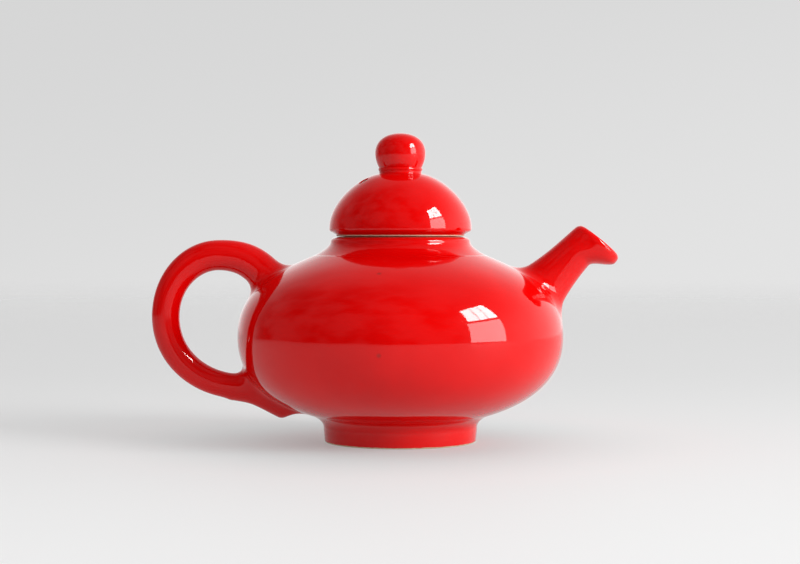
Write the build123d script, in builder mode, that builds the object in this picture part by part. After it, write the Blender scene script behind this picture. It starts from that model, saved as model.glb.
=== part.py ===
"""Small glazed ceramic teapot with a domed lift-off lid, built as its potter joins it.

Millimetres, +Z up, +X towards the spout and -X towards the handle. The origin is on
the pot's vertical axis, in the plane that the foot ring stands on.
"""
import os
from math import cos, radians, sin

from build123d import *

# ---- Bowl ------------------------------------------------------------------------
belly_radius = 55.0        # widest ring of the bowl
belly_height = 35.5        # height of that ring
shoulder_radius = 28.9     # where the bowl's shoulder meets the neck collar
shoulder_height = 63.1
shoulder_rise = 23.4       # slope of the shoulder there, in degrees
root_radius = 31.0         # where the bowl's underside turns down to the foot
root_height = 9.45
root_rise = 17.2           # slope of the underside there, in degrees
wall = 3.0                 # thickness of the thrown wall, floor and top
underside_pull = 15.5      # how far the underside runs straight before it turns up
lower_belly_pull = 13.0
upper_belly_pull = 16.9    # how far the side runs straight up before it turns in
upper_shoulder_pull = 12.9
root_foot_pull = 2.0       # how far the root runs straight up from the foot ring
root_belly_pull = 2.6      # and straight into the underside
floor_pull = 4.0           # the same inside, from the flat floor
floor_corner_pull = 3.0
floor_sweep = 2.4          # run of the floor's corner for each millimetre that it rises

# ---- Foot ring -------------------------------------------------------------------
foot_radius = 26.0
foot_height = 5.0
foot_width = 4.2
foot_edge = 0.8            # rounding of the two edges it stands on

# ---- Neck collar -----------------------------------------------------------------
neck_radius = 23.6         # outside of the collar at its waist
neck_height = 6.3          # from the shoulder to the rim that the lid sits on
bore_radius = 17.0         # the mouth of the pot
rim_land = 2.0             # width of the rim's flat ring
rim_round = 1.8            # how far the rim's rounding drops on the outside
neck_flare_pull = 1.8      # how far the collar follows the shoulder before it turns up
neck_waist_pull = 1.6      # and runs straight into its waist
rim_side_pull = 1.3        # the same above the waist, and into the rim
rim_top_pull = 3.0

# ---- Lid -------------------------------------------------------------------------
lid_radius = 24.1
lid_height = 21.1          # from the rim to the seat of the knob
lid_wall = 2.8
lid_lip = 1.5              # how far the lid's bevelled lip rises from land to edge
lid_edge = 1.2             # height of the rounded edge above the lip
lip_inset = 0.8            # the lip is this much narrower than the lid
lip_turn = 20.0            # direction in which the edge leaves the lip, in degrees
lip_pull = 0.5
lid_edge_pull = 0.6
lid_inside_rise = 0.3      # the hollow's side starts this far above the edge
lid_inside_pull = 6.8
crown_inside_inset = 1.0   # the hollow's top is this much narrower than the knob's foot
crown_rise = 10.0          # slope of the dome beside the knob, in degrees
lid_side_pull = 8.8
lid_crown_pull = 6.8
flange_depth = 7.0         # how far the locating ring reaches down into the mouth
flange_width = 2.5
flange_clearance = 0.4     # gap between the locating ring and the mouth, all round
flange_chamfer = 0.6
vent_diameter = 3.4        # steam hole
vent_reach = 13.4          # its distance from the lid's axis, on the dome's outside
vent_drop = 2.4            # and its drop below the knob's seat there
vent_turn = 23.0           # its turn from the handle side towards -Y, in degrees
vent_lean = 20.0           # its lean outwards from upright, in degrees

# ---- Knob ------------------------------------------------------------------------
knob_radius = 8.4
knob_waist = 6.9
knob_foot = 7.5            # radius of its foot on the dome
knob_height = 13.8
knob_waist_rise = 1.1      # height of the waist above the foot
knob_ball_rise = 6.9       # height of the widest ring above the foot
knob_foot_turn = 150.0     # direction in which the foot turns in to the waist, in degrees
knob_foot_pull = 0.5
knob_foot_waist_pull = 0.4
knob_waist_pull = 2.1      # how far the waist runs straight up before it swells
knob_lower_ball_pull = 2.0
knob_upper_ball_pull = 4.0
knob_crown_pull = 4.9

# ---- Spout -----------------------------------------------------------------------
spout_drop = 10.6          # its root centre lies this far below the shoulder
spout_lean = 50.6          # angle of the mouth's normal above horizontal, in degrees
spout_length = 23.2        # root centre to mouth plane
spout_throat = 13.3        # outside diameter at the narrowest place
spout_throat_place = 0.6   # where along the spout that is
spout_root_flare = 3.5     # how much wider it is at the root
spout_mouth_flare = 2.5    # how much taller it is at the mouth
spout_mouth_spread = 0.5   # how much wider across it is at the mouth
spout_beak = 5.8           # how far the mouth reaches out past the straight axis
spout_wall = 2.1
spout_bury = 6.0           # length of its blank inside the bowl, before trimming
spout_stations = 8

# ---- Strainer --------------------------------------------------------------------
strainer_radius = 6.6
strainer_wall = 1.6
strainer_hole = 1.5
strainer_recess = 1.2      # its straight rim ends this far below the bowl's outside
strainer_rings = ((6, 26.0), (10, 55.0))  # holes in each ring, and its angle off axis

# ---- Handle ----------------------------------------------------------------------
handle_standoff = 24.4     # centre line at the back of the grip, outside the belly
handle_back_height = 42.5
crown_standoff = 6.3       # top of the loop, outside the belly
under_standoff = 2.5       # bottom of the loop, outside the belly
under_height = 18.9
under_angle = 352.5        # direction of the loop at its bottom, in degrees
upper_root_drop = 9.6      # the centre line enters the bowl this far below the shoulder
upper_root_inset = 2.0     # its blank starts this far inside the bowl's surface
upper_root_angle = 129.5   # direction in which the loop leaves the shoulder, in degrees
upper_root_pull = 7.7      # how far it runs straight there
lower_root_inset = 12.0    # its blank ends this far inside the belly's radius
lower_root_lift = 2.5      # and this far above the bottom of the loop
lower_root_angle = 25.0    # direction in which it enters the bowl there
lower_root_pull = 5.0
crown_pull_in = 8.5        # how far the loop runs straight into its top
crown_pull = 9.9           # and out of it
back_pull_up = 11.4        # and above and below its back
back_pull_down = 13.0
under_pull = 12.2          # and into its bottom
handle_root_size = 12.2
handle_crown_size = 10.3
handle_back_size = 9.4
handle_under_size = 8.6
handle_end_size = 10.6
handle_slimness = 0.96     # width across the handle as a share of its thickness
handle_stations = 13

# ---- Handle's tail ---------------------------------------------------------------
tail_proud = 5.0           # how far it stands out from the bowl
tail_root_flare = 4.6      # how much further it stands out where the loop joins it
tail_bury = 4.0            # depth of its blank inside the bowl, before trimming
tail_width = 8.4
tail_start = 0.55          # the stretch of the bowl's underside that it runs along
tail_end = 0.10
tail_end_lean = 32.0       # lean of its end cut from square, in degrees
tail_stations = 8

rim_height = shoulder_height + neck_height
knob_seat = rim_height + lid_height
land_radius = bore_radius + rim_land
flange_radius = bore_radius - flange_clearance


def heading(angle):
    """Unit direction in the profile plane, at an angle in degrees."""
    return Vector(cos(radians(angle)), sin(radians(angle)))


def bend(start, start_angle, start_pull, end, end_angle, end_pull):
    """Control points of a bend that leaves start and reaches end at given angles."""
    first, last = Vector(*start), Vector(*end)
    return (
        first,
        first + heading(start_angle) * start_pull,
        last - heading(end_angle) * end_pull,
        last,
    )


def lower_flank(inset):
    """The bowl's underside, moved inwards by inset along its own normal."""
    inward = heading(root_rise + 90) * inset
    start = Vector(root_radius, root_height) + inward
    reach = 1 - inset / belly_radius
    return bend(
        start, root_rise, underside_pull * reach,
        (belly_radius - inset, belly_height), 90, lower_belly_pull * reach,
    )


def upper_flank(inset):
    """The bowl's side and shoulder, moved inwards by inset."""
    inward = heading(270 - shoulder_rise) * inset
    end = Vector(shoulder_radius, shoulder_height) + inward
    reach = 1 - inset / belly_radius
    return bend(
        (belly_radius - inset, belly_height), 90, upper_belly_pull * reach,
        end, 180 - shoulder_rise, upper_shoulder_pull * reach,
    )


def surface_at(height):
    """Place on the bowl's upper outside at a height, as (radius, height)."""
    low, high = 0.0, 1.0
    curve = Bezier(*upper_flank(0))
    for _ in range(40):
        middle = (low + high) / 2
        if (curve @ middle).Y < height:
            low = middle
        else:
            high = middle
    return curve @ low


def section_plane(centre, along):
    """Plane across a piece in the XZ plane: x across the pot, z along the piece."""
    return Plane(
        origin=(centre.X, 0, centre.Y),
        x_dir=(0, 1, 0),
        z_dir=(along.X, 0, along.Y),
    )


# ---- Bowl: one turned wall, open at the mouth, in two halves that meet at the belly
with BuildPart() as bowl_blank:
    with BuildSketch(Plane.XZ):
        with BuildLine():
            Polyline((0, shoulder_height), (0, foot_height), (foot_radius, foot_height))
            Bezier(*bend((foot_radius, foot_height), 90, root_foot_pull,
                         (root_radius, root_height), root_rise, root_belly_pull))
            Bezier(*lower_flank(0))
            Bezier(*upper_flank(0))
            Line((shoulder_radius, shoulder_height), (0, shoulder_height))
        make_face()
    revolve(axis=Axis.Z)

spout_axis = heading(spout_lean)
spout_across = heading(spout_lean - 90)
spout_root = surface_at(shoulder_height - spout_drop)

floor_height = foot_height + wall
inner_start = lower_flank(wall)[0]
inner_top = upper_flank(wall)[3]
floor_radius = inner_start.X - floor_sweep * (inner_start.Y - floor_height)

with BuildPart() as turned_wall:
    add(bowl_blank.part)
    with BuildSketch(Plane.XZ):
        with BuildLine():
            Polyline((0, inner_top.Y), (0, floor_height), (floor_radius, floor_height))
            Bezier(*bend((floor_radius, floor_height), 0, floor_pull,
                         inner_start, root_rise, floor_corner_pull))
            Bezier(*lower_flank(wall))
            Bezier(*upper_flank(wall))
            Line(inner_top, (0, inner_top.Y))
        make_face()
    revolve(axis=Axis.Z, mode=Mode.SUBTRACT)
    with BuildSketch(Plane.XY.offset(inner_top.Y)):
        Circle(bore_radius)
    extrude(amount=shoulder_height - inner_top.Y, mode=Mode.SUBTRACT)
    with BuildSketch(section_plane(spout_root - spout_axis * 2 * wall, spout_axis)):
        Circle(strainer_radius)
    extrude(amount=4 * wall, mode=Mode.SUBTRACT)

belly_plane = Plane.XY.offset(belly_height)
with BuildPart() as pot_bowl:
    add(turned_wall.part)
    split(bisect_by=belly_plane, keep=Keep.BOTTOM)
pot_bowl.part.label = "pot_bowl"
with BuildPart() as pot_shoulder:
    add(turned_wall.part)
    split(bisect_by=belly_plane, keep=Keep.TOP)
pot_shoulder.part.label = "pot_shoulder"

# ---- Foot ring: stands on the table and carries the bowl's flat underside --------
with BuildPart() as foot_ring:
    with BuildSketch():
        Circle(foot_radius)
        Circle(foot_radius - foot_width, mode=Mode.SUBTRACT)
    extrude(amount=foot_height)
    fillet(foot_ring.faces().sort_by(Axis.Z)[0].edges(), foot_edge)
foot_ring.part.label = "foot_ring"

# ---- Neck collar: flares from the shoulder up to the rim that the lid sits on ----
neck_waist = rim_height - rim_round
with BuildPart() as neck_collar:
    with BuildSketch(Plane.XZ):
        with BuildLine():
            Polyline((land_radius, rim_height), (bore_radius, rim_height),
                     (bore_radius, shoulder_height), (shoulder_radius, shoulder_height))
            Bezier(*bend((shoulder_radius, shoulder_height), 180 - shoulder_rise,
                         neck_flare_pull, (neck_radius, neck_waist), 90, neck_waist_pull))
            Bezier(*bend((neck_radius, neck_waist), 90, rim_side_pull,
                         (land_radius, rim_height), 180, rim_top_pull))
        make_face()
    revolve(axis=Axis.Z)
neck_collar.part.label = "neck_collar"

# ---- Spout: sections parallel to the mouth, drifting out towards the beak --------


def spout_place(share):
    """Centre of the spout's section at a share of its length."""
    drift = spout_beak * max(share, 0) ** 3
    return spout_root + spout_axis * (share * spout_length) + spout_across * drift


def spout_size(share, mouth_flare):
    """Outside size of the spout's section at a share of its length."""
    if share < spout_throat_place:
        return spout_throat + spout_root_flare * (1 - share / spout_throat_place) ** 2
    past = (share - spout_throat_place) / (1 - spout_throat_place)
    return spout_throat + mouth_flare * past ** 2


def spout_section(share, inset):
    """One section of the spout, smaller all round by inset."""
    with BuildSketch(section_plane(spout_place(share), spout_axis)) as section:
        Ellipse(
            spout_size(share, spout_mouth_spread) / 2 - inset,
            spout_size(share, spout_mouth_flare) / 2 - inset,
        )
    return section.sketch


spout_first = -spout_bury / spout_length
spout_shares = [
    spout_first + (1 - spout_first) * step / (spout_stations - 1)
    for step in range(spout_stations)
]
with BuildPart() as spout:
    loft([spout_section(share, 0) for share in spout_shares])
    loft([spout_section(share, spout_wall) for share in spout_shares], mode=Mode.SUBTRACT)
    add(bowl_blank.part, mode=Mode.SUBTRACT)
spout.part.label = "spout"

# ---- Strainer: pierced dome set in the wall behind the spout, bulging inwards ----
strainer_plane = section_plane(spout_root - spout_axis * wall, spout_axis)
strainer_rim = wall - strainer_recess
with BuildPart() as spout_strainer:
    with BuildSketch(strainer_plane):
        Circle(strainer_radius)
    extrude(amount=strainer_rim)
    with Locations(strainer_plane):
        Sphere(strainer_radius)
        Sphere(strainer_radius - strainer_wall, mode=Mode.SUBTRACT)
    with BuildSketch(strainer_plane):
        Circle(strainer_radius - strainer_wall)
    extrude(amount=strainer_radius, mode=Mode.SUBTRACT)
    with BuildSketch(strainer_plane.offset(strainer_rim)):
        Circle(2 * strainer_radius)
    extrude(amount=strainer_radius, mode=Mode.SUBTRACT)
    with Locations(strainer_plane):
        Cylinder(strainer_hole / 2, 3 * strainer_radius, mode=Mode.SUBTRACT)
        for count, tilt in strainer_rings:
            for step in range(count):
                with Locations(Rotation(0, 0, 360 * step / count) * Rotation(0, 180 - tilt, 0)):
                    Cylinder(strainer_hole / 2, 2 * strainer_radius,
                             align=(Align.CENTER, Align.CENTER, Align.MIN),
                             mode=Mode.SUBTRACT)
spout_strainer.part.label = "spout_strainer"

# ---- Handle: an ear-shaped loop, thickest at its upper root, with a tail ---------
root_side = surface_at(shoulder_height - upper_root_drop)
upper_root = (-root_side.X + upper_root_inset, root_side.Y)
crown = (-belly_radius - crown_standoff, shoulder_height)
back = (-belly_radius - handle_standoff, handle_back_height)
under = (-belly_radius - under_standoff, under_height)
lower_root = (-belly_radius + lower_root_inset, under_height + lower_root_lift)

with BuildLine() as handle_path:
    Bezier(*bend(upper_root, upper_root_angle, upper_root_pull, crown, 180, crown_pull_in))
    Bezier(*bend(crown, 180, crown_pull, back, 270, back_pull_up))
    Bezier(*bend(back, 270, back_pull_down, under, under_angle, under_pull))
    Bezier(*bend(under, under_angle, lower_root_pull,
                 lower_root, lower_root_angle, lower_root_pull))

# Thickness of the loop at shares of its length, from the upper root to the lower.
handle_sizes = (
    (0.0, handle_root_size), (0.22, handle_crown_size), (0.5, handle_back_size),
    (0.85, handle_under_size), (1.0, handle_end_size),
)


def handle_size(share):
    """Thickness of the handle at a share of its length, eased between named sizes."""
    for (low, size_low), (high, size_high) in zip(handle_sizes, handle_sizes[1:]):
        if share <= high:
            part = (share - low) / (high - low)
            ease = part * part * (3 - 2 * part)
            return size_low + (size_high - size_low) * ease
    return handle_end_size


def handle_section(share):
    """One section of the loop, across its centre line."""
    plane = section_plane(handle_path.line @ share, handle_path.line % share)
    with BuildSketch(plane) as section:
        Ellipse(handle_size(share) / 2 * handle_slimness, handle_size(share) / 2)
    return section.sketch


def tail_section(share):
    """One section of the tail, standing on the bowl's underside."""
    flank = Bezier(*lower_flank(0))
    place = tail_start + (tail_end - tail_start) * share
    foot = flank @ place
    slope = flank % place
    lean = tail_end_lean * share ** 3
    outward = Vector(slope.Y, -slope.X).rotate(Axis.Z, lean)
    proud = tail_proud + tail_root_flare * (1 - share) ** 4
    centre = foot + outward * (proud - tail_bury) / 2
    centre, outward = Vector(-centre.X, centre.Y), Vector(-outward.X, outward.Y)
    with BuildSketch(section_plane(centre, Vector(-outward.Y, outward.X))) as section:
        Ellipse(tail_width / 2, (proud + tail_bury) / 2)
    return section.sketch


with BuildPart() as handle:
    loft([handle_section(step / (handle_stations - 1)) for step in range(handle_stations)])
    loft([tail_section(step / (tail_stations - 1)) for step in range(tail_stations)])
    add(bowl_blank.part, mode=Mode.SUBTRACT)
handle.part.label = "handle"

# ---- Lid's dome: flat land and bevelled lip below, seat for the knob on top ------
flange_inner = flange_radius - flange_width
lip_radius = lid_radius - lip_inset
edge_height = rim_height + lid_lip + lid_edge
dome_side = (lid_radius, edge_height)
dome_top = (knob_foot, knob_seat)
inner_side = (lid_radius - lid_wall, edge_height + lid_inside_rise)
inner_crown = (knob_foot - crown_inside_inset, knob_seat - lid_wall)
ledge_height = rim_height + lid_wall

with BuildPart() as lid_dome:
    with BuildSketch(Plane.XZ):
        with BuildLine():
            Polyline((flange_inner, rim_height), (land_radius, rim_height),
                     (lip_radius, rim_height + lid_lip))
            Bezier(*bend((lip_radius, rim_height + lid_lip), lip_turn, lip_pull,
                         dome_side, 90, lid_edge_pull))
            Bezier(*bend(dome_side, 90, lid_side_pull, dome_top, 180 - crown_rise,
                         lid_crown_pull))
            Polyline(dome_top, (0, knob_seat), (0, inner_crown[1]), inner_crown)
            Bezier(*bend(inner_crown, -crown_rise, lid_crown_pull,
                         inner_side, 270, lid_inside_pull))
            Polyline(inner_side, (inner_side[0], ledge_height),
                     (flange_inner, ledge_height), (flange_inner, rim_height))
        make_face()
    revolve(axis=Axis.Z)
    vent_axis = heading(90 - vent_lean)
    vent_heading = Vector(-cos(radians(vent_turn)), -sin(radians(vent_turn)))
    vent_foot = Vector(vent_heading.X, vent_heading.Y) * vent_reach
    with BuildSketch(Plane(
        origin=(vent_foot.X, vent_foot.Y, knob_seat - vent_drop),
        z_dir=(vent_heading.X * vent_axis.X, vent_heading.Y * vent_axis.X, vent_axis.Y),
    )):
        Circle(vent_diameter / 2)
    extrude(amount=3 * lid_wall, both=True, mode=Mode.SUBTRACT)
lid_dome.part.label = "lid_dome"

# ---- Lid's locating ring: hangs in the mouth and keeps the lid centred -----------
with BuildPart() as lid_flange:
    with BuildSketch(Plane.XY.offset(rim_height - flange_depth)):
        Circle(flange_radius)
        Circle(flange_inner, mode=Mode.SUBTRACT)
    extrude(amount=flange_depth)
    chamfer(lid_flange.faces().sort_by(Axis.Z)[0].edges(), flange_chamfer)
lid_flange.part.label = "lid_flange"

# ---- Knob: a waisted ball on the crown of the dome -------------------------------
knob_top = knob_seat + knob_height
waist = (knob_waist, knob_seat + knob_waist_rise)
ball = (knob_radius, knob_seat + knob_ball_rise)
with BuildPart() as lid_knob:
    with BuildSketch(Plane.XZ):
        with BuildLine():
            Polyline((0, knob_top), (0, knob_seat), (knob_foot, knob_seat))
            Bezier(*bend((knob_foot, knob_seat), knob_foot_turn, knob_foot_pull,
                         waist, 90, knob_foot_waist_pull))
            Bezier(*bend(waist, 90, knob_waist_pull, ball, 90, knob_lower_ball_pull))
            Bezier(*bend(ball, 90, knob_upper_ball_pull, (0, knob_top), 180,
                         knob_crown_pull))
        make_face()
    revolve(axis=Axis.Z)
lid_knob.part.label = "lid_knob"

os.makedirs("parts", exist_ok=True)
for piece in (pot_bowl, pot_shoulder, foot_ring, neck_collar, spout, spout_strainer, handle,
              lid_dome, lid_flange, lid_knob):
    export_step(piece.part, f"parts/{piece.part.label}.step")
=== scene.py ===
"""A small round teapot in red glazed stoneware, with a domed lid that lifts straight off.

The pot is put together as a potter puts it together: a turned bowl, its foot ring and neck
collar, then the spout with its strainer, the handle, and last the lid. Metres throughout,
+X towards the spout, +Z up, the origin under the middle of the pot on the table.
"""
import math

import bmesh
import bpy
import numpy as np
from mathutils import Matrix, Vector


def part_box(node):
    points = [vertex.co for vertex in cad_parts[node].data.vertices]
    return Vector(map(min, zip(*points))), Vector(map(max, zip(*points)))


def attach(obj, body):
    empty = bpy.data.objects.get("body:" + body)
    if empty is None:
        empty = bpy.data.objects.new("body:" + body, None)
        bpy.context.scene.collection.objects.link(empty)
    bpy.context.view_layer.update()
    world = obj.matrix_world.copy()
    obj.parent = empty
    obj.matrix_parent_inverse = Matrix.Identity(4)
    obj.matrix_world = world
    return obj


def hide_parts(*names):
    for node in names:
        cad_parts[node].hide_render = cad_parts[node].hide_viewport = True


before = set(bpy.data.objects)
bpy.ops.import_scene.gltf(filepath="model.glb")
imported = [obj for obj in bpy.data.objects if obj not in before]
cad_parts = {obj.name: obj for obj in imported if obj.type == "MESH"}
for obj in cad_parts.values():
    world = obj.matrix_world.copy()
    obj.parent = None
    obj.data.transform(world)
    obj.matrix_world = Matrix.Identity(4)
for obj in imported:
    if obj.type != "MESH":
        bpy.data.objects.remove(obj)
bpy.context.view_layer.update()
mm = 0.001

# ---- Bowl ----------------------------------------------------------------------------
# The body of the pot: stoneware turned on a wheel with a wall of about 3 mm, round and
# low-bellied, glazed red outside and white inside. Everything else is joined on to it.
bowl_low, bowl_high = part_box("pot_bowl")
collar_low, collar_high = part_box("neck_collar")
ring_low, ring_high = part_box("foot_ring")
flange_low, flange_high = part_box("lid_flange")

belly_radius = bowl_high.x
belly_height = 35.5 * mm
wall = 3.0 * mm
shoulder = (collar_high.x, collar_low.z)
shoulder_slope = 180 - 23.4
foot_top = (ring_high.x, ring_high.z)
flange_gap = 0.4 * mm
bore_radius = flange_high.x + flange_gap
root_pulls = (2.0 * mm, 2.6 * mm)
flank_start = (31.0 * mm, 9.45 * mm)
flank_rise = 17.2
flank_pulls = (15.5 * mm, 13.0 * mm)
side_pulls = (16.9 * mm, 12.9 * mm)
floor_radius = 20.0 * mm
floor_pulls = (3.0 * mm, 4.0 * mm)
corner_turn = 20


def heading(degrees):
    """Unit direction in a profile, at an angle in degrees from straight out."""
    return np.array((math.cos(math.radians(degrees)), math.sin(math.radians(degrees))))


def bend(start, start_angle, start_pull, end, end_angle, end_pull, steps=24):
    """Points of a bend that leaves start and reaches end at the given angles."""
    first, last = np.array(start, float), np.array(end, float)
    near = first + heading(start_angle) * start_pull
    far = last - heading(end_angle) * end_pull
    t = np.linspace(0, 1, steps)[:, None]
    return ((1 - t) ** 3 * first + 3 * (1 - t) ** 2 * t * near
            + 3 * (1 - t) * t ** 2 * far + t ** 3 * last)


def run(start, end, steps=12):
    """Points of a straight run."""
    return np.linspace(start, end, steps)


def eased(outline, radius, steps=5):
    """The outline with each corner that turns more than corner_turn rounded off by radius."""
    points = [np.array(p, float) for p in outline]
    out = [points[0]]
    for before, corner, after in zip(points, points[1:], points[2:]):
        a, b = before - corner, after - corner
        la, lb = np.linalg.norm(a), np.linalg.norm(b)
        turn = math.degrees(math.acos(max(-1, min(1, -(a @ b) / (la * lb)))))
        if turn < corner_turn:
            out.append(corner)
            continue
        reach = min(radius, 0.45 * la, 0.45 * lb)
        start, end = corner + a / la * reach, corner + b / lb * reach
        for t in np.linspace(0, 1, steps):
            out.append((1 - t) ** 2 * start + 2 * t * (1 - t) * corner + t * t * end)
    out.append(points[-1])
    return out


def joined(*stretches):
    """One outline from stretches laid end to end."""
    points = [tuple(p) for stretch in stretches for p in stretch]
    kept = [points[0]]
    for p in points[1:]:
        if math.dist(p, kept[-1]) > 1e-6:
            kept.append(p)
    return kept


def lower_flank(inset, steps=40):
    """The bowl's underside, moved inwards by inset."""
    start = np.array(flank_start) + heading(flank_rise + 90) * inset
    reach = 1 - inset / belly_radius
    return bend(start, flank_rise, flank_pulls[0] * reach,
                (belly_radius - inset, belly_height), 90, flank_pulls[1] * reach, steps)


def upper_flank(inset, steps=48):
    """The bowl's side and shoulder, moved inwards by inset."""
    end = np.array(shoulder) + heading(shoulder_slope + 90) * inset
    reach = 1 - inset / belly_radius
    return bend((belly_radius - inset, belly_height), 90, side_pulls[0] * reach,
                end, shoulder_slope, side_pulls[1] * reach, steps)


class Wire:
    """A shader socket to reckon with: each operator adds the Math node that it stands for."""

    def __init__(self, tree, socket=None):
        self.tree, self.socket = tree, socket

    def node(self, kind, settings, inputs, output=0):
        """Adds a node, sets its own settings and then its sockets, and wraps one output."""
        made = self.tree.nodes.new(kind)
        for name, value in settings.items():
            setattr(made, name, value)
        for name, value in inputs.items():
            if isinstance(value, Wire):
                self.tree.links.new(value.socket, made.inputs[name])
            else:
                made.inputs[name].default_value = value
        return None if output is None else Wire(self.tree, made.outputs[output])

    def math(self, operation, first, second=0.0):
        """A Math node of two numbers."""
        return self.node("ShaderNodeMath", {"operation": operation}, {0: first, 1: second})

    def __add__(self, other):
        return self.math("ADD", self, other)

    def __radd__(self, other):
        return self.math("ADD", other, self)

    def __sub__(self, other):
        return self.math("SUBTRACT", self, other)

    def __rsub__(self, other):
        return self.math("SUBTRACT", other, self)

    def __mul__(self, other):
        return self.math("MULTIPLY", self, other)

    def __rmul__(self, other):
        return self.math("MULTIPLY", other, self)

    def alone(self, operation):
        """A Math node that takes one number, such as SQRT or SINE."""
        return self.math(operation, self)

    def step(self, low, high):
        """0 below low and 1 above high, with a smooth way between."""
        return self.node("ShaderNodeMapRange", {"interpolation_type": "SMOOTHSTEP"},
                         {"Value": self, "From Min": low, "From Max": high})

    def blend(self, first, second):
        """The colour that runs from first to second as this goes from 0 to 1."""
        return self.node("ShaderNodeMix", {"data_type": "RGBA"},
                         {0: self, 6: first, 7: second}, 2)


def new_material(name, roughness):
    """An empty material: its tree as a Wire, its shader node, and Object coordinates."""
    material = bpy.data.materials.new(name)
    material.use_nodes = True
    tree = Wire(material.node_tree)
    shader = material.node_tree.nodes["Principled BSDF"]
    shader.inputs["Roughness"].default_value = roughness
    place = tree.node("ShaderNodeTexCoord", {}, {}, "Object")
    return material, tree, shader, place


def connect(wire, shader, socket):
    """Feeds one of the shader's sockets."""
    wire.tree.links.new(wire.socket, shader.inputs[socket])


def split(tree, place):
    """The three parts of a place, as numbers."""
    return [tree.node("ShaderNodeSeparateXYZ", {}, {0: place}, way) for way in "XYZ"]


def height_of(tree, place):
    """Height over the table."""
    return split(tree, place)[2]


def radius_of(tree, place):
    """Distance from the pot's axis."""
    x, y, _ = split(tree, place)
    return (x * x + y * y).alone("SQRT")


def noise(tree, place, scale, detail=2.0, rough=0.5):
    """Noise with its grain about 1 / scale across."""
    return tree.node("ShaderNodeTexNoise", {},
                     {"Vector": place, "Scale": scale, "Detail": detail, "Roughness": rough})


def specks(tree, place, scale, share, size):
    """Scattered round specks, 1 at the middle of each: share of the cells have one."""
    cells = {"feature": "F1"}
    near = tree.node("ShaderNodeTexVoronoi", cells, {"Vector": place, "Scale": scale}, "Distance")
    tint = tree.node("ShaderNodeTexVoronoi", cells, {"Vector": place, "Scale": scale}, "Color")
    pick = tree.node("ShaderNodeSeparateColor", {}, {0: tint}, 0)
    return (1 - near.step(size * 0.4, size)) * pick.step(1 - share, 1 - share + 0.001)


# The glaze: colours, polish, and how deep its ripple stands.
red_deep = (0.630, 0.0004, 0.0004, 1)
red_bright = (0.700, 0.0008, 0.0006, 1)
glaze_level = 0.32
pinhole_colour = (0.20, 0.012, 0.008, 1)
glaze_roughness = 0.045
bare_roughness = 0.75
ripple_depth = 0.12 * mm
liner_dull, liner_clear = (0.76, 0.73, 0.66, 1), (0.83, 0.81, 0.76, 1)
iron_brown = (0.32, 0.20, 0.11, 1)
clay_dark, clay_pale = (0.52, 0.37, 0.24, 1), (0.68, 0.53, 0.38, 1)
grit_brown = (0.25, 0.15, 0.09, 1)


def red_colour(tree, place):
    """Colour of the red glaze, a little deeper where it pooled, and its pinholes."""
    pooling = noise(tree, place, scale=38, detail=3).step(0.30, 0.72)
    pinholes = specks(tree, place, scale=150, share=0.018, size=0.20)
    colour = (pinholes * 0.75).blend(pooling.blend(red_deep, red_bright), pinhole_colour)
    return colour, pinholes


def liner_colour(tree, place):
    """Milky, faintly warm white, with a few iron specks."""
    cloud = noise(tree, place, scale=60, detail=3).step(0.3, 0.7)
    iron = specks(tree, place, scale=260, share=0.05, size=0.25) * 0.6
    return iron.blend(cloud.blend(liner_dull, liner_clear), iron_brown)


def clay_colour(tree, place):
    """Buff stoneware body, with darker grains."""
    grain = noise(tree, place, scale=900, detail=4, rough=0.65).step(0.25, 0.75)
    grit = specks(tree, place, scale=700, share=0.10, size=0.30) * 0.7
    return grit.blend(grain.blend(clay_dark, clay_pale), grit_brown)


def red_glaze(name, bare=None, liner=None):
    """Hard glassy red glaze, with masks of where it is wiped bare or meets the liner."""
    material, tree, shader, place = new_material(name, glaze_roughness)
    shader.inputs["Specular IOR Level"].default_value = glaze_level
    colour, pinholes = red_colour(tree, place)
    ripple = (noise(tree, place, scale=70, detail=1)
              + noise(tree, place, scale=520, detail=2) * 0.02)
    height = ripple - pinholes * 0.2
    if liner:
        colour = liner(tree, place).blend(colour, liner_colour(tree, place))
    if bare:
        mask = bare(tree, place)
        colour = mask.blend(colour, clay_colour(tree, place))
        connect(glaze_roughness + mask * bare_roughness, shader, "Roughness")
        grain = noise(tree, place, scale=1400, detail=4, rough=0.7)
        height = height + mask * (grain * 0.8 - 0.9)
    connect(colour, shader, "Base Color")
    bump = tree.node("ShaderNodeBump", {}, {"Distance": ripple_depth, "Height": height})
    connect(bump, shader, "Normal")
    return material


def white_glaze():
    """The liner glaze by itself."""
    material, tree, shader, place = new_material("white_glaze", 0.09)
    connect(liner_colour(tree, place), shader, "Base Color")
    height = noise(tree, place, scale=90, detail=2)
    bump = tree.node("ShaderNodeBump", {}, {"Distance": ripple_depth, "Height": height})
    connect(bump, shader, "Normal")
    return material


red = red_glaze("red_glaze")
white = white_glaze()


def socket_of(tree, name, kind, out=False):
    """Adds a named socket to a node group."""
    way = "OUTPUT" if out else "INPUT"
    return tree.interface.new_socket(name, in_out=way, socket_type=kind)


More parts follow.
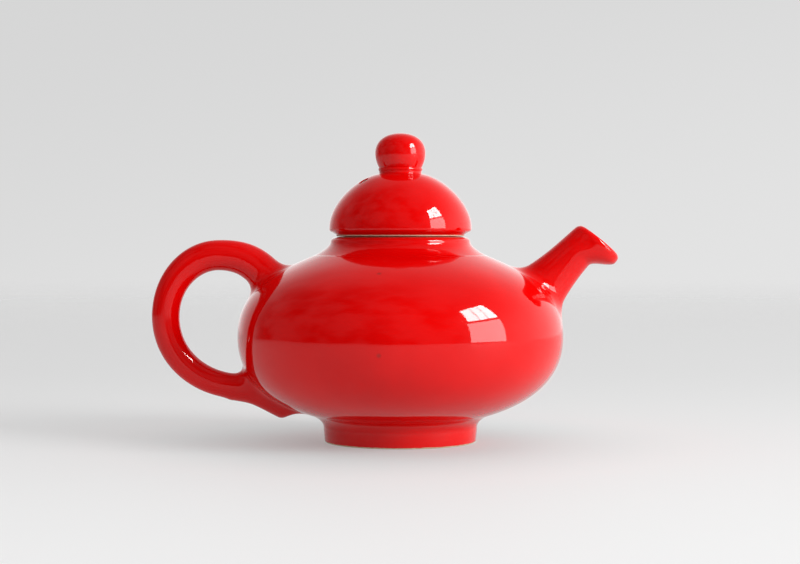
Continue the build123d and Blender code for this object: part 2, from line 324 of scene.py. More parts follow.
def potters_wheel():
    """Geometry nodes that turn an outline, drawn in XY, round the Z axis."""
    tree = bpy.data.node_groups.new("potters_wheel", "GeometryNodeTree")
    socket_of(tree, "Outline", "NodeSocketGeometry")
    socket_of(tree, "Sides", "NodeSocketInt")
    socket_of(tree, "Axle", "NodeSocketFloat")
    socket_of(tree, "Glaze", "NodeSocketMaterial")
    socket_of(tree, "Clay", "NodeSocketGeometry", out=True)
    graph = Wire(tree)
    given = tree.nodes.new("NodeGroupInput")
    sides, axle = Wire(tree, given.outputs["Sides"]), Wire(tree, given.outputs["Axle"])
    outline = Wire(tree, given.outputs["Outline"])
    rail = graph.node("GeometryNodeCurvePrimitiveCircle", {},
                      {"Resolution": sides, "Radius": axle})
    profile = graph.node("GeometryNodeMeshToCurve", {}, {"Mesh": outline})
    clay = graph.node("GeometryNodeCurveToMesh", {}, {"Curve": rail, "Profile Curve": profile})
    clay = graph.node("GeometryNodeRealizeInstances", {}, {0: clay})
    glaze = Wire(tree, given.outputs["Glaze"])
    clay = graph.node("GeometryNodeSetMaterial", {}, {"Geometry": clay, "Material": glaze})
    finished = tree.nodes.new("NodeGroupOutput")
    tree.links.new(clay.socket, finished.inputs["Clay"])
    return tree


wheel = potters_wheel()
axle = 1e-7


def add_object(name, mesh):
    """A new object for a mesh, at the origin."""
    piece = bpy.data.objects.new(name, mesh)
    bpy.context.scene.collection.objects.link(piece)
    return piece


def made_plain(piece):
    """Turns what a piece's modifiers make into its own plain mesh, and drops them."""
    bpy.context.view_layer.update()
    shape = piece.evaluated_get(bpy.context.evaluated_depsgraph_get())
    mesh = bpy.data.meshes.new_from_object(shape)
    piece.modifiers.clear()
    old, piece.data = piece.data, mesh
    bpy.data.meshes.remove(old)
    mesh.name = piece.name
    return piece


def worked(piece, tree, values):
    """Runs a node group on a piece with inputs given by name, and keeps what it makes."""
    working = piece.modifiers.new(tree.name, "NODES")
    working.node_group = tree
    for item in tree.interface.items_tree:
        if item.name in values:
            working[item.identifier] = values[item.name]
    return made_plain(piece)


def tidied(piece, merge=2e-6, crease=math.radians(32)):
    """Merges doubled points, faces all outwards, and shades smooth between sharp edges."""
    bm = bmesh.new()
    bm.from_mesh(piece.data)
    bmesh.ops.remove_doubles(bm, verts=bm.verts, dist=merge)
    bmesh.ops.recalc_face_normals(bm, faces=bm.faces)
    if bm.calc_volume(signed=True) < 0:
        bmesh.ops.reverse_faces(bm, faces=bm.faces)
    for face in bm.faces:
        face.smooth = True
    for edge in bm.edges:
        edge.smooth = edge.is_manifold and edge.calc_face_angle() < crease
    bm.to_mesh(piece.data)
    bm.free()
    return piece


def turned(name, outline, glaze, sides=256, ring=False):
    """Turns an outline of (radius, height) points on the wheel; a ring's outline is closed."""
    points = [(max(r, 0.0) - axle, -z, 0.0) for r, z in outline]
    edges = [(i, i + 1) for i in range(len(points) - 1)]
    if ring:
        edges.append((len(points) - 1, 0))
    mesh = bpy.data.meshes.new(name)
    mesh.from_pydata(points, edges, [])
    piece = add_object(name, mesh)
    return tidied(worked(piece, wheel, {"Sides": sides, "Axle": axle, "Glaze": glaze}))


def from_line(line, places):
    """Signed distance of places from a line, plus on its right, and where along it each is."""
    starts, steps = line[:-1], np.diff(line, axis=0)
    spans = (steps ** 2).sum(1)
    far, share = np.empty(len(places)), np.empty(len(places))
    for first in range(0, len(places), 4096):
        block = slice(first, first + 4096)
        gap = places[block, None] - starts
        t = np.clip((gap * steps).sum(2) / spans, 0, 1)
        square = ((gap - t[..., None] * steps) ** 2).sum(2)
        nearest = square.argmin(1)
        row = np.arange(len(nearest))
        side = steps[nearest, 0] * gap[row, nearest, 1] - steps[nearest, 1] * gap[row, nearest, 0]
        far[block] = np.sqrt(square[row, nearest]) * np.where(side > 0, -1, 1)
        share[block] = (nearest + t[row, nearest]) / len(steps)
    return far, share


def drilled(piece, drill, place):
    """Cuts a turned drill, moved to its place, out of a piece."""
    drill.data.transform(place)
    cutting = piece.modifiers.new("drilled", "BOOLEAN")
    cutting.operation, cutting.solver, cutting.object = "DIFFERENCE", "EXACT", drill
    made_plain(piece)
    bpy.data.objects.remove(drill)
    return tidied(piece, merge=1e-7)


def lined(piece, glaze, outside, depth):
    """Gives a turned piece's faces that lie deeper than depth behind its outside a glaze."""
    piece.data.materials.append(glaze)
    middles = np.array([face.center for face in piece.data.polygons])
    radii = np.hypot(middles[:, 0], middles[:, 1])
    gap, _ = from_line(np.array(outside), np.stack((radii, middles[:, 2]), 1))
    piece.data.polygons.foreach_set("material_index", (gap < -depth).astype(np.int32))


floor_height = bowl_low.z + wall
inner_start = lower_flank(wall)[0]
inner_top = upper_flank(wall)[-1]
floor_edge = (floor_radius, floor_height)
bowl_outside = joined(
    run((0, bowl_low.z), foot_top, 40),
    bend(foot_top, 90, root_pulls[0], flank_start, flank_rise, root_pulls[1], 18),
    lower_flank(0), upper_flank(0),
)
bowl_outline = joined(
    bowl_outside,
    run(shoulder, (bore_radius, shoulder[1]), 16),
    run((bore_radius, shoulder[1]), (bore_radius, inner_top[1]), 6),
    run((bore_radius, inner_top[1]), inner_top, 10),
    upper_flank(wall)[::-1], lower_flank(wall)[::-1],
    bend(inner_start, flank_rise + 180, floor_pulls[0], floor_edge, 180, floor_pulls[1], 14),
    run(floor_edge, (0, floor_height), 24),
)
bowl = turned("turned_bowl", bowl_outline, red, sides=288)

spout_lean = 50.6
spout_drop = 10.6 * mm
along_spout = heading(spout_lean)
across_spout = heading(spout_lean - 90)
shoulder_line = upper_flank(0, 400)


def on_shoulder(drop):
    """The place on the bowl's outline that is drop below the neck collar."""
    return shoulder_line[np.argmin(abs(shoulder_line[:, 1] - (shoulder[1] - drop)))]


spout_root = on_shoulder(spout_drop)
strainer_radius = 6.6 * mm
spout_seat = (Matrix.Translation((spout_root[0], 0, spout_root[1]))
              @ Matrix.Rotation(math.radians(90 - spout_lean), 4, "Y"))
strainer_drill = turned("strainer_drill", [
    (0, -3 * wall), (strainer_radius, -3 * wall), (strainer_radius, 2 * wall), (0, 2 * wall),
], white, sides=96)
bowl = drilled(bowl, strainer_drill, spout_seat)
liner_depth = 0.4 * wall
lined(bowl, white, bowl_outside + [(bore_radius, shoulder[1])], liner_depth)
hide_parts("pot_bowl", "pot_shoulder")
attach(bowl, "pot")

# ---- Foot ring -----------------------------------------------------------------------
# The ring that the pot stands on, thrown with the bowl and trimmed: 52 mm across, 5 mm
# high, faintly tapered. It is wiped bare of glaze where it meets the table.
foot_wide, foot_tall = ring_high.x, ring_high.z
foot_inner = foot_wide - 4.2 * mm
foot_toe = foot_wide - 0.4 * mm
foot_bend = (foot_wide, foot_tall * 0.85)
foot_edge = 0.7 * mm
foot_middle = (foot_inner + foot_toe) / 2
foot_outline = joined(
    eased([(foot_middle, 0), (foot_toe, 0), foot_bend], foot_edge),
    run(foot_bend, (foot_wide, foot_tall), 4),
    run((foot_wide, foot_tall), (foot_inner, foot_tall), 4),
    eased([(foot_inner, foot_tall), (foot_inner, 0), (foot_middle, 0)], foot_edge)[:-1],
)
foot = turned("turned_foot", foot_outline, red, ring=True)


def wiped_foot(tree, place):
    """Mask of bare clay at the foot's edge, up to a wavering line."""
    ragged = noise(tree, place, scale=400) * 0.4 * mm
    return 1 - (height_of(tree, place) + ragged).step(0.55 * mm, 0.75 * mm)


foot.data.materials[0] = red_glaze("red_glaze_wiped", bare=wiped_foot)
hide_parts("foot_ring")
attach(foot, "pot")

# ---- Neck collar ---------------------------------------------------------------------
# The short neck and rounded rim, thrown on top of the bowl. Its flat rim carries the lid,
# and the red glaze runs over the rim to meet the white liner just inside the mouth.
rim_height = collar_high.z
rim_edge = 0.5 * mm
land_radius = bore_radius + 2.0 * mm
neck_waist = (23.6 * mm, rim_height - 1.8 * mm)
flare_pulls = (1.8 * mm, 1.6 * mm)
rim_pulls = (1.3 * mm, 3.0 * mm)
collar_outline = joined(
    run((bore_radius, shoulder[1]), shoulder, 4),
    bend(shoulder, shoulder_slope, flare_pulls[0], neck_waist, 90, flare_pulls[1], 20),
    bend(neck_waist, 90, rim_pulls[0], (land_radius, rim_height), 180, rim_pulls[1], 20),
    eased([(land_radius, rim_height), (bore_radius, rim_height),
           (bore_radius, shoulder[1] + 0.2 * mm)], rim_edge, 7),
)
collar = turned("turned_collar", collar_outline, red, ring=True)


def inside_mouth(tree, place):
    """Mask of the white liner in the mouth, up to a wavering line under the rim."""
    line = height_of(tree, place) + noise(tree, place, scale=60) * 1.6 * mm
    low = 1 - line.step(rim_height - 0.7 * mm, rim_height - 0.5 * mm)
    return low * (1 - radius_of(tree, place).step(land_radius - 0.6 * mm, land_radius - 0.4 * mm))


collar.data.materials[0] = red_glaze("red_glaze_rim", liner=inside_mouth)
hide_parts("neck_collar")
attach(collar, "pot")

# ---- Spout ---------------------------------------------------------------------------
# A hollow tapered spout, thrown apart, cut to fit the shoulder and luted on with a soft
# fillet. Its mouth is cut aslant, and the lower lip is drawn out to a beak.
spout_length = 24.9 * mm
spout_throat = 13.3 * mm
throat_place = 0.55
root_flare = 2.6 * mm
mouth_spread = 0.7 * mm
upper_lean = 4.2 * mm
upper_reach = 7.6 * mm
lower_reach = 7.85 * mm
beak_drop = 6.4 * mm
beak_start, beak_end = 0.62, 0.88
spout_wall = 2.1 * mm
spout_fillet = 4.0 * mm
lip_round = 2.4 * mm
bore_round = 1.0 * mm
skin = 0.004 * mm
sunk = 1.2 * mm
spout_cell = 0.4 * mm
liner_start = 1.8 * mm

bowl_side = np.array(joined(bowl_outside)[38:])


def melted(first, second, reach):
    """Union of two shapes with a fillet of about the given reach between them."""
    near = np.maximum(reach - abs(first - second), 0)
    return np.minimum(first, second) - near ** 2 / (4 * reach)


def carved(first, second, reach):
    """What two shapes have in common, with its edge rounded by about the given reach."""
    return -melted(-first, -second, reach)


class Chart:
    """Numbers worked out once over a square of a plane, and read off between grid points."""

    def __init__(self, field, low, high, pitch=0.2 * mm):
        self.low, self.pitch = np.array(low), pitch
        counts = np.ceil((np.array(high) - low) / pitch).astype(int) + 2
        grid = np.stack(np.meshgrid(*[np.arange(n) for n in counts], indexing="ij"), -1)
        values = field(self.low + grid.reshape(-1, 2) * pitch)
        self.values = [v.reshape(counts) for v in values]

    def read(self, places):
        """The charted numbers at places."""
        at = np.clip((places - self.low) / self.pitch, 0, np.array(self.values[0].shape) - 1.001)
        cell = at.astype(int)
        i, j = cell.T
        u, v = (at - cell).T
        return [(v0[i, j] * (1 - u) + v0[i + 1, j] * u) * (1 - v)
                + (v0[i, j + 1] * (1 - u) + v0[i + 1, j + 1] * u) * v for v0 in self.values]


bowl_chart = Chart(lambda places: from_line(bowl_side, places)[:1],
                   (26 * mm, 3 * mm), (64 * mm, 76 * mm))


def off_bowl(places):
    """Signed distance from the bowl's outside."""
    radii = np.hypot(places[:, 0], places[:, 1])
    return bowl_chart.read(np.stack((radii, places[:, 2]), 1))[0]


def luted(shape, reach, places):
    """A shape joined to the bowl's outside by a fillet, and cut off just under its skin."""
    bowl_gap = off_bowl(places)
    whole = melted(shape, bowl_gap + skin, reach)
    patch = np.maximum(whole, shape - reach - sunk)
    return np.maximum(patch, -bowl_gap - sunk)


def slope_of(field, places, value, step=0.01 * mm):
    """Gradient of a field at places."""
    out = np.empty_like(places)
    for axis in range(3):
        moved = places.copy()
        moved[:, axis] += step
        out[:, axis] = (field(moved) - value) / step
    return out


def sculpted(name, field, low, high, cell, glaze, rounds=5):
    """Closed mesh of all places where field is below nought, between two corners.

    The field is read on a coarse grid, then on a fine one near the surface. One point is put
    in each fine cell that the surface crosses, and all are drawn on to it and evened out.
    """
    coarse = 4
    least_slope = 0.05
    counts = np.ceil((np.array(high) - low) / cell / coarse).astype(int) * coarse + 1
    index = np.stack(np.meshgrid(*[np.arange(0, n, coarse) for n in counts], indexing="ij"), -1)
    rough = field(low + index.reshape(-1, 3) * cell).reshape(index.shape[:3])
    for axis in range(3):
        rough = np.repeat(rough, coarse, axis=axis)
    value = rough[tuple(slice(0, n) for n in counts)].copy()
    reach = 3 * coarse * cell
    for axis in range(3):
        moved = np.roll(value, coarse - 1, axis=axis)
        value = np.where(abs(moved) < abs(value), moved, value)
    close = np.argwhere(abs(value) < reach)
    value[tuple(close.T)] = field(low + close * cell)
    inside = value < 0
    blocks = [inside[i:counts[0] - 1 + i, j:counts[1] - 1 + j, k:counts[2] - 1 + k]
              for i in (0, 1) for j in (0, 1) for k in (0, 1)]
    mixed = np.logical_or.reduce(blocks) & ~np.logical_and.reduce(blocks)
    number = np.full(mixed.shape, -1)
    number[mixed] = np.arange(mixed.sum())
    points = low + (np.argwhere(mixed) + 0.5) * cell
    faces = []
    for axis in range(3):
        ends = [slice(None)] * 3
        starts = [slice(None)] * 3
        ends[axis], starts[axis] = slice(1, None), slice(None, -1)
        crossed = np.argwhere(inside[tuple(starts)] != inside[tuple(ends)])
        u, v = np.eye(3, dtype=int)[(axis + 1) % 3], np.eye(3, dtype=int)[(axis + 2) % 3]
        corners = [number[tuple((crossed - shift).T)] for shift in (0 * u, u, u + v, v)]
        faces.append(np.stack(corners, 1))
    faces = np.concatenate(faces)
    edges = np.concatenate([faces[:, [i, (i + 1) % 4]] for i in range(4)])
    for turn in range(rounds):
        value = field(points)
        slope = slope_of(field, points, value)
        steep = np.maximum((slope ** 2).sum(1), least_slope)
        push = np.clip(value / steep, -cell, cell)
        points = points - push[:, None] * slope
        if turn < rounds - 1:
            total = np.zeros_like(points)
            weight = np.zeros(len(points))
            for here, there in ((0, 1), (1, 0)):
                np.add.at(total, edges[:, here], points[edges[:, there]])
                np.add.at(weight, edges[:, here], 1)
            drift = total / weight[:, None] - points
            normal = slope / np.sqrt(steep)[:, None]
            points = points + drift - (drift * normal).sum(1)[:, None] * normal
    mesh = bpy.data.meshes.new(name)
    mesh.from_pydata(points.tolist(), [], faces.tolist())
    mesh.materials.append(glaze)
    return tidied(add_object(name, mesh), merge=1e-7)


def eased_share(share, low, high):
    """0 below low and 1 above high, with a smooth way between."""
    part = np.clip((share - low) / (high - low), 0, 1)
    return part * part * (3 - 2 * part)


def spout_tube(places, inset):
    """Signed distance from the spout's outside, taken inwards by inset."""
    gap = places[:, [0, 2]] - spout_root
    share, across = gap @ along_spout / spout_length, gap @ across_spout
    root = root_flare * np.clip(1 - share / throat_place, 0, 1.4) ** 2 / 2
    top = upper_reach - upper_lean * np.clip(share, -0.2, 1) + root - inset
    drop = beak_drop * eased_share(share, beak_start, beak_end)
    bottom = lower_reach + root + drop - inset
    wide = spout_throat / 2 + root + mouth_spread * np.clip(share, 0, 1) ** 4 - inset
    middle, tall = (bottom - top) / 2, (bottom + top) / 2
    level = np.hypot((across - middle) / tall, places[:, 1] / wide)
    return (level - 1) * np.minimum(tall, wide)


def spout_field(places):
    """Below nought in the clay of the spout."""
    cut = (places[:, [0, 2]] - spout_root) @ along_spout - spout_length
    body = carved(spout_tube(places, 0), cut, lip_round)
    return carved(luted(body, spout_fillet, places), -spout_tube(places, spout_wall), bore_round)


spout_low, spout_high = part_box("spout")
margin = 9 * mm
spout = sculpted("beaked_spout", spout_field,
                 np.array((spout_low.x - margin, spout_low.y - margin, spout_low.z - 12 * mm)),
                 (spout_high.x + 2 * mm, spout_high.y + margin, spout_high.z + 2 * mm),
                 spout_cell, red)


def inside_spout(tree, place):
    """Mask of the white liner in the spout, from 2 mm inside its lip."""
    gap = tree.node("ShaderNodeVectorMath", {"operation": "SUBTRACT"},
                    {0: place, 1: (spout_root[0], 0, spout_root[1])})
    parts = []
    for way in (along_spout, across_spout):
        parts.append(tree.node("ShaderNodeVectorMath", {"operation": "DOT_PRODUCT"},
                               {0: gap, 1: (way[0], 0, way[1])}, "Value"))
    mouth = parts[0].step(beak_start * spout_length, beak_end * spout_length)
    lean = parts[0] * (upper_lean / 2 / spout_length)
    across = parts[1] - lean - mouth * (beak_drop / 2)
    _, y, _ = split(tree, place)
    radius = (across * across + y * y).alone("SQRT")
    depth = parts[0] + noise(tree, place, scale=120) * 1.5 * mm
    line = spout_length - liner_start
    low = 1 - depth.step(line, line + 0.2 * mm)
    middle = spout_throat / 2 - 0.6 * spout_wall
    return low * (1 - radius.step(middle - 0.1 * mm, middle + 0.1 * mm))


spout.data.materials[0] = red_glaze("red_glaze_spout", liner=inside_spout)
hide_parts("spout")
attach(spout, "pot")

# ---- Strainer ------------------------------------------------------------------------
# A thin clay dome, 13 mm across, set in the wall behind the spout so that it bulges into
# the bowl. It was pierced by hand with seventeen holes while soft, and is glazed white.
strainer_wall = 1.6 * mm
strainer_rim = 0.6 * wall
strainer_edge = 0.3 * mm
strainer_bend = 0.1 * mm
hole_width = 1.5 * mm
ring_counts = (6, 10)
ring_tilts = (26.0, 55.0)


def piercing():
    """Geometry nodes that pierce a dome about the origin in rings round its lowest point."""
    tree = bpy.data.node_groups.new("piercing", "GeometryNodeTree")
    socket_of(tree, "Dome", "NodeSocketGeometry")
    socket_of(tree, "Reach", "NodeSocketFloat")
    socket_of(tree, "Hole", "NodeSocketFloat")
    for ring in ("Inner", "Outer"):
        socket_of(tree, f"{ring} Holes", "NodeSocketInt")
        socket_of(tree, f"{ring} Tilt", "NodeSocketFloat")
    socket_of(tree, "Glaze", "NodeSocketMaterial")
    socket_of(tree, "Pierced", "NodeSocketGeometry", out=True)
    graph = Wire(tree)
    given = tree.nodes.new("NodeGroupInput")
    reach, hole = Wire(tree, given.outputs["Reach"]), Wire(tree, given.outputs["Hole"])
    places = tree.nodes.new("GeometryNodeJoinGeometry")
    low = graph.node("ShaderNodeCombineXYZ", {}, {"Z": reach * -1.0})
    pole = graph.node("GeometryNodeMeshLine", {}, {"Count": 1, "Start Location": low})
    tree.links.new(pole.socket, places.inputs[0])
    for ring in ("Inner", "Outer"):
        count = Wire(tree, given.outputs[f"{ring} Holes"])
        tilt = Wire(tree, given.outputs[f"{ring} Tilt"])
        circle = graph.node("GeometryNodeMeshCircle", {},
                            {"Vertices": count, "Radius": reach * tilt.alone("SINE")})
        drop = graph.node("ShaderNodeCombineXYZ", {}, {"Z": reach * tilt.alone("COSINE") * -1.0})
        placed = graph.node("GeometryNodeTransform", {}, {"Geometry": circle, "Translation": drop})
        tree.links.new(placed.socket, places.inputs[0])
    centre = graph.node("GeometryNodeInputPosition", {}, {})
    aim = graph.node("FunctionNodeAlignRotationToVector", {"axis": "Z"}, {"Vector": centre})
    pin = graph.node("GeometryNodeMeshCylinder", {},
                     {"Vertices": 20, "Radius": hole * 0.5, "Depth": reach * 0.9})
    pins = graph.node("GeometryNodeInstanceOnPoints", {},
                      {"Points": Wire(tree, places.outputs[0]), "Instance": pin, "Rotation": aim})
    pins = graph.node("GeometryNodeRealizeInstances", {}, {0: pins})
    cut = graph.node("GeometryNodeMeshBoolean", {"operation": "DIFFERENCE", "solver": "EXACT"}, {})
    tree.links.new(given.outputs["Dome"], cut.socket.node.inputs["Mesh 1"])
    tree.links.new(pins.socket, cut.socket.node.inputs["Mesh 2"])
    whole = graph.node("GeometryNodeRealizeInstances", {}, {0: cut})
    glaze = Wire(tree, given.outputs["Glaze"])
    whole = graph.node("GeometryNodeSetMaterial", {}, {"Geometry": whole, "Material": glaze})
    finished = tree.nodes.new("NodeGroupOutput")
    tree.links.new(whole.socket, finished.inputs["Pierced"])
    return tree


def arc(radius, start, end, steps=28):
    """Points of an arc about the origin, between two angles in degrees."""
    return [tuple(heading(a) * radius) for a in np.linspace(start, end, steps)]


strainer_inside = strainer_radius - strainer_wall
strainer = turned("pierced_strainer", joined(
    arc(strainer_radius, -90, 0),
    eased([(strainer_radius, strainer_bend), (strainer_radius, strainer_rim),
           (strainer_inside, strainer_rim), (strainer_inside, strainer_bend)], strainer_edge),
    arc(strainer_inside, 0, -90),
), white, sides=96)
pierced_as = {
    "Reach": strainer_radius - strainer_wall / 2, "Hole": hole_width, "Glaze": white,
    "Inner Holes": ring_counts[0], "Inner Tilt": math.radians(ring_tilts[0]),
    "Outer Holes": ring_counts[1], "Outer Tilt": math.radians(ring_tilts[1]),
}
worked(strainer, piercing(), pierced_as)
tidied(strainer)
strainer.data.transform(spout_seat @ Matrix.Translation((0, 0, -wall)))
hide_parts("spout_strainer")
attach(strainer, "pot")

# ---- Handle --------------------------------------------------------------------------
# An ear-shaped loop pulled by hand from one rope of clay, thickest at its upper root and
# luted to the shoulder. Its lower end runs on down the bowl as a tail, cut aslant.
crown = (-belly_radius - 6.3 * mm, shoulder[1])
back = (-belly_radius - 24.4 * mm, 42.5 * mm)
under = (-belly_radius - 2.5 * mm, 18.9 * mm)
under_angle = 352.5
loop_end = (-belly_radius + 12.0 * mm, under[1] + 2.5 * mm)
root_side = on_shoulder(8.8 * mm)
loop_start = (-root_side[0] + 2.0 * mm, root_side[1])
loop_sizes = ((0.0, 12.2 * mm), (0.22, 10.3 * mm), (0.5, 9.4 * mm), (0.85, 8.6 * mm),
              (1.0, 10.6 * mm))
slimness = 0.96
handle_fillet = 4.8 * mm
tail_fillet = 2.0 * mm
tail_proud = 5.0 * mm
tail_flare = 4.6 * mm
tail_bury = 4.0 * mm
tail_width = 8.4 * mm
tail_start, tail_end = 0.55, 0.10
tail_lean = 32.0
tail_tip_round = 1.6 * mm
tail_top_rise = 1.0 * mm
tail_top_round = 4.0 * mm
handle_cell = 0.45 * mm


def evenly(points, count):
    """The same line with points the same distance apart."""
    points = np.array(points)
    travel = np.concatenate(([0], np.cumsum(np.linalg.norm(np.diff(points, axis=0), axis=1))))
    places = np.linspace(0, travel[-1], count)
    return np.stack([np.interp(places, travel, points[:, i]) for i in (0, 1)], 1)


loop_line = evenly(joined(
    bend(loop_start, 129.5, 7.7 * mm, crown, 180, 8.5 * mm, 60),
    bend(crown, 180, 9.9 * mm, back, 270, 11.4 * mm, 60),
    bend(back, 270, 13.0 * mm, under, under_angle, 12.2 * mm, 60),
    bend(under, under_angle, 5.0 * mm, loop_end, 25.0, 5.0 * mm, 40),
), 160)
flank = lower_flank(0, 400)
last_step = len(flank) - 1
tail_foot = flank[int(tail_end * last_step)]
tail_slope = flank[int(tail_end * last_step) + 1] - tail_foot
tail_slope = tail_slope / np.linalg.norm(tail_slope)
lean_turn = math.radians(tail_lean)
cut_way = np.array((
    tail_slope[0] * math.cos(lean_turn) - tail_slope[1] * math.sin(lean_turn),
    tail_slope[0] * math.sin(lean_turn) + tail_slope[1] * math.cos(lean_turn),
))
tail_top = flank[int(tail_start * last_step)]

loop_chart = Chart(lambda places: from_line(loop_line, places),
                   (-92 * mm, -2 * mm), (-26 * mm, 76 * mm))
flank_chart = Chart(lambda places: from_line(lower_flank(0, 60), places),
                    (20 * mm, -4 * mm), (92 * mm, 76 * mm))


def loop_field(places):
    """Signed distance from the handle's loop."""
    far, share = loop_chart.read(places[:, [0, 2]])
    size = np.zeros(len(places))
    for (low, size_low), (high, size_high) in zip(loop_sizes, loop_sizes[1:]):
        change = (size_high - size_low) * eased_share(share, low, high)
        size = np.where(share >= low, size_low + change, size)
    tall, wide = size / 2, size / 2 * slimness
    return (np.hypot(far / tall, places[:, 1] / wide) - 1) * wide


def tail_field(places):
    """Signed distance from the tail, which stands on the bowl's underside."""
    profile = places[:, [0, 2]] * (-1, 1)
    out, along = flank_chart.read(profile)
    share = np.clip((tail_start - along) / (tail_start - tail_end), 0, 1)
    proud = tail_proud + tail_flare * (1 - share) ** 4
    middle, tall = (proud - tail_bury) / 2, (proud + tail_bury) / 2
    wide = tail_width / 2
    level = np.hypot((out - middle) / tall, places[:, 1] / wide)
    tail = (level - 1) * np.minimum(tall, wide)
    past_tip = (tail_foot - profile) @ cut_way
    past_top = (profile - tail_top)[:, 1] - tail_top_rise
    return carved(carved(tail, past_tip, tail_tip_round), past_top, tail_top_round)


def handle_field(places):
    """Below nought in the clay of the handle."""
    return luted(melted(loop_field(places), tail_field(places), tail_fillet),
                 handle_fillet, places)


handle_low, handle_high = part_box("handle")
handle = sculpted("ear_handle", handle_field,
                  np.array((handle_low.x - mm, handle_low.y - margin, handle_low.z - margin)),
                  (handle_high.x + margin, handle_high.y + margin, handle_high.z + mm),
                  handle_cell, red)
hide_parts("handle")
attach(handle, "pot")

# ---- Lid's dome ----------------------------------------------------------------------
# The hollow cap of the lid, thrown upside down, with a bevelled lip that sits on the rim.
# One steam hole is drilled beside the knob. The lip's underside is wiped bare for firing.
_, dome_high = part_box("lid_dome")
lid_radius, knob_seat = dome_high.x, dome_high.z
lid_wall = 2.8 * mm
lip = (lid_radius - 0.8 * mm, rim_height + 1.5 * mm)
bare_radius = 21.5 * mm
bare_band = 0.65 * mm
dome_side = (lid_radius, lip[1] + 1.2 * mm)
knob_foot = 7.5 * mm
dome_top = (knob_foot, knob_seat)
inner_crown = (knob_foot - mm, knob_seat - lid_wall)
inner_side = (lid_radius - lid_wall, dome_side[1] + 0.3 * mm)
inner_pull = 6.8 * mm
dome_pulls = (8.8 * mm, 6.8 * mm)
flange_inner = flange_high.x - 2.5 * mm
ledge_height = rim_height + lid_wall
dome_outline = joined(
    run((0, inner_crown[1]), inner_crown, 14),
    bend(inner_crown, -10, inner_pull, inner_side, 270, inner_pull, 40),
    eased([inner_side, (inner_side[0], ledge_height), (flange_inner, ledge_height),
           (flange_inner, rim_height)], 0.6 * mm),
    run((flange_inner, rim_height), (land_radius - mm, rim_height), 8),
    eased([(land_radius - mm, rim_height), (bare_radius, rim_height + 0.1 * mm),
           (bare_radius + 0.2 * mm, rim_height + bare_band), lip], 0.2 * mm),
    bend(lip, 20, 0.5 * mm, dome_side, 90, 0.6 * mm, 14),
    bend(dome_side, 90, dome_pulls[0], dome_top, 170, dome_pulls[1], 90),
    run(dome_top, (0, knob_seat), 12),
)
dome = turned("turned_dome", dome_outline, red, sides=256)

vent_radius = 1.7 * mm
vent_edge = 0.5 * mm
vent_reach = 13.4 * mm
vent_turn = math.radians(23.0)
drill_foot = -2.5 * lid_wall
drill_mouth = (vent_radius + vent_edge, 0.02 * mm)
drill_flare = (2 * vent_radius, 0.3 * mm)
drill_top = 0.6 * mm

dome_line = np.array(bend(dome_side, 90, dome_pulls[0], dome_top, 170, dome_pulls[1], 400))
vent_step = np.argmin(abs(dome_line[:, 0] - vent_reach))
vent_at = dome_line[vent_step]
vent_slope = dome_line[vent_step] - dome_line[vent_step - 1]
vent_tilt = math.atan2(-vent_slope[0], vent_slope[1])
drill = turned("drill", joined(
    run((0, drill_foot), (vent_radius, drill_foot), 3),
    run((vent_radius, drill_foot), (vent_radius, -vent_edge), 3),
    bend((vent_radius, -vent_edge), 90, 0.3 * mm, drill_mouth, 10, 0.3 * mm, 8),
    run(drill_mouth, drill_flare, 3),
    run(drill_flare, (0, drill_top), 3),
), red, sides=48)
dome = drilled(dome, drill, Matrix.Rotation(math.pi + vent_turn, 4, "Z")
               @ Matrix.Translation((vent_at[0], 0, vent_at[1]))
               @ Matrix.Rotation(math.pi / 2 - vent_tilt, 4, "Y"))


def wiped_lip(tree, place):
    """Mask of bare clay under the lip, up to a wavering line."""
    ragged = noise(tree, place, scale=150, detail=3) * 0.25 * mm
    line = rim_height + bare_band
    low = 1 - (height_of(tree, place) + ragged).step(line - 0.05 * mm, line + 0.05 * mm)
    inner = 1 - radius_of(tree, place).step(lip[0] - 0.5 * mm, lip[0] - 0.4 * mm)
    return low * inner


dome_outside = joined(run((flange_inner, rim_height), (land_radius, rim_height), 4),
                      run((land_radius, rim_height), lip, 14), dome_line, [(0, knob_seat)])
lined(dome, white, dome_outside, 0.55 * lid_wall)
dome.data.materials[0] = red_glaze("red_glaze_lid", bare=wiped_lip)
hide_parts("lid_dome")
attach(dome, "lid")

# ---- Lid's flange --------------------------------------------------------------------
# The ring under the dome that hangs in the mouth and keeps the lid centred. Its stoneware
# is left bare, so that lid and pot can be fired together without sticking.
chamfer = 0.6 * mm
flange_edge = 0.3 * mm
flange_middle = (flange_inner + flange_high.x) / 2
flange_outline = joined(
    eased([(flange_middle, flange_low.z), (flange_high.x - chamfer, flange_low.z),
           (flange_high.x, flange_low.z + chamfer), (flange_high.x, flange_high.z)], flange_edge),
    run((flange_high.x, flange_high.z), (flange_inner, flange_high.z), 4),
    eased([(flange_inner, flange_high.z), (flange_inner, flange_low.z + chamfer),
           (flange_inner + chamfer, flange_low.z), (flange_middle, flange_low.z)],
          flange_edge)[:-1],
)


def bare_clay():
    """Unglazed stoneware: buff, grainy and matt."""
    material, tree, shader, place = new_material("bare_clay", 0.82)
    connect(clay_colour(tree, place), shader, "Base Color")
    height = (noise(tree, place, scale=1400, detail=4, rough=0.7)
              + noise(tree, place, scale=250, detail=2) * 0.5)
    bump = tree.node("ShaderNodeBump", {}, {"Distance": 0.1 * mm, "Height": height})
    connect(bump, shader, "Normal")
    return material


flange = turned("turned_flange", flange_outline, bare_clay(), sides=192, ring=True)
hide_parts("lid_flange")
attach(flange, "lid")

